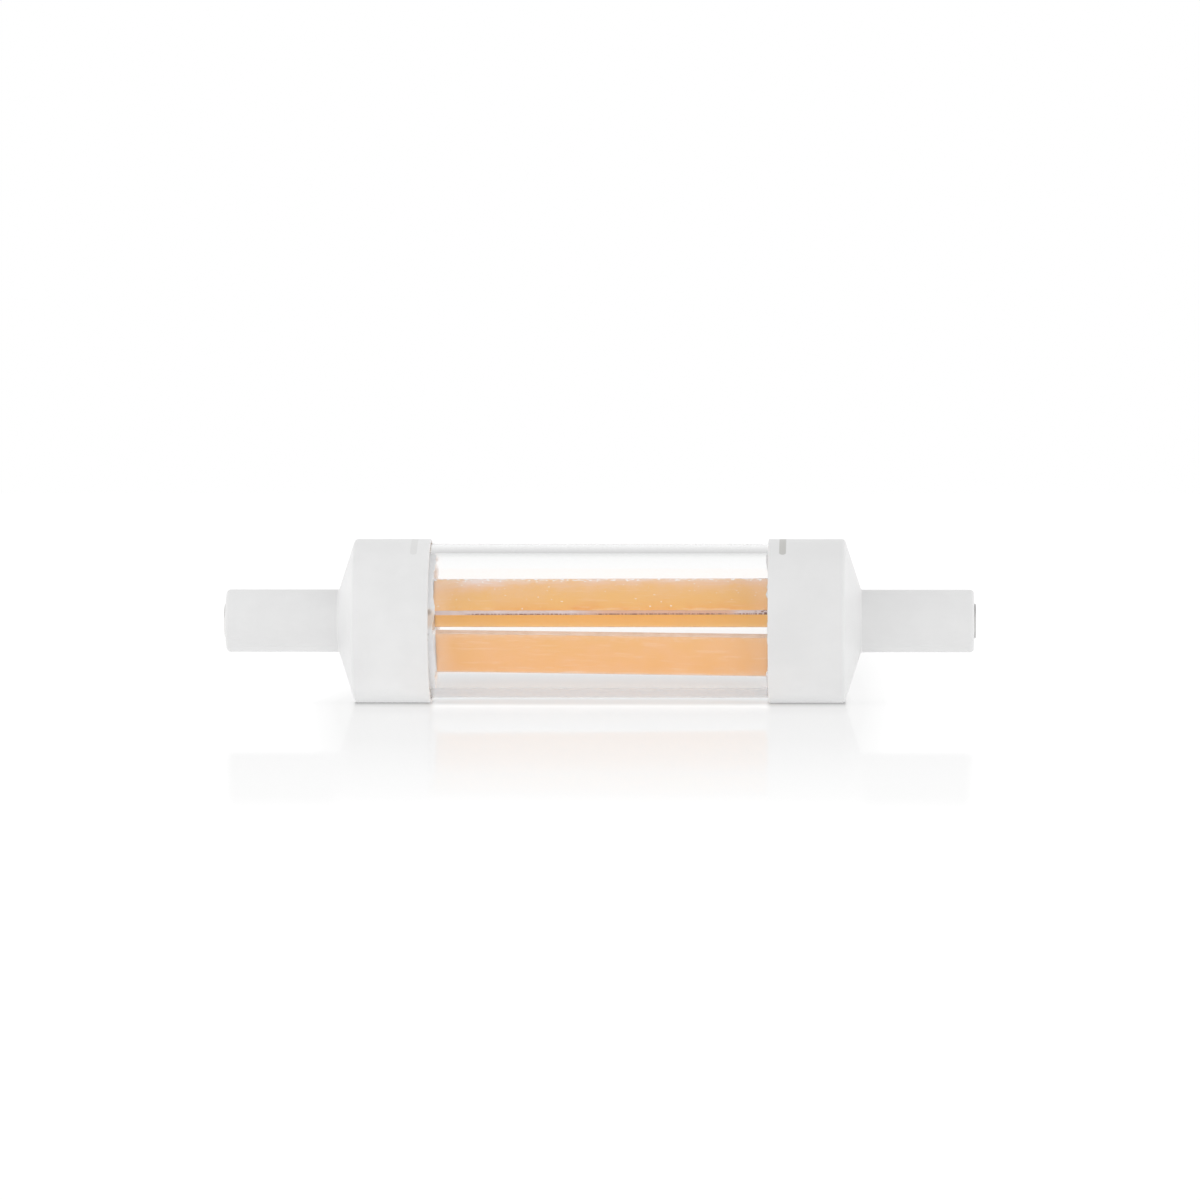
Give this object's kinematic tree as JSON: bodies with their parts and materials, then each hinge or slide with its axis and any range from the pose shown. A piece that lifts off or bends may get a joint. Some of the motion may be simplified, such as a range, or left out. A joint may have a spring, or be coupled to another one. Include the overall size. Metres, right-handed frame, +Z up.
{
  "type": "linear led bulb",
  "caption": "Double-ended linear LED bulb: orange-coated LED strips in a clear glass tube between two white caps, each with a narrow stub and a metal contact.",
  "frame": {"origin": "middle of the bulb, on the axis of its tube and stubs", "axes": "+X along the bulb to its right contact, +Z up, and the pictured front faces -Y"},
  "size_m": [0.078, 0.017, 0.017],
  "materials": {
    "cap_white": "satin",
    "clear_glass": "gloss",
    "contact_metal": "satin",
    "phosphor_coat": "satin",
    "strip_ceramic": "matt",
    "tinned_metal": "satin",
    "holder_white": "matt",
    "seal_silicone": "satin",
    "board_laminate": "matt",
    "chip_case": "matt",
    "resistor_case": "satin",
    "fuse_coating": "satin",
    "wire_sleeve": "satin"
  },
  "bodies": {
    "root": {"bridge_rectifier": "chip_case", "driver_board": "board_laminate", "driver_chip": "chip_case", "front_low_inner_phosphor": "phosphor_coat", "front_low_left_tab": "tinned_metal", "front_low_outer_phosphor": "phosphor_coat", "front_low_right_tab": "tinned_metal", "front_low_strip_base": "strip_ceramic", "front_top_inner_phosphor": "phosphor_coat", "front_top_left_tab": "tinned_metal", "front_top_outer_phosphor": "phosphor_coat", "front_top_right_tab": "tinned_metal", "front_top_strip_base": "strip_ceramic", "fuse_resistor": "fuse_coating", "glass_tube": "clear_glass", "left_contact": "contact_metal", "left_end_cap": "cap_white", "left_strip_holder": "holder_white", "left_tube_seal": "seal_silicone", "link_board": "board_laminate", "rear_low_inner_phosphor": "phosphor_coat", "rear_low_left_tab": "tinned_metal", "rear_low_outer_phosphor": "phosphor_coat", "rear_low_right_tab": "tinned_metal", "rear_low_strip_base": "strip_ceramic", "rear_top_inner_phosphor": "phosphor_coat", "rear_top_left_tab": "tinned_metal", "rear_top_outer_phosphor": "phosphor_coat", "rear_top_right_tab": "tinned_metal", "rear_top_strip_base": "strip_ceramic", "return_wire": "wire_sleeve", "right_contact": "contact_metal", "right_end_cap": "cap_white", "right_lead": "tinned_metal", "right_strip_holder": "holder_white", "right_tube_seal": "seal_silicone", "sense_resistor": "resistor_case"}
  },
  "joints": []
}
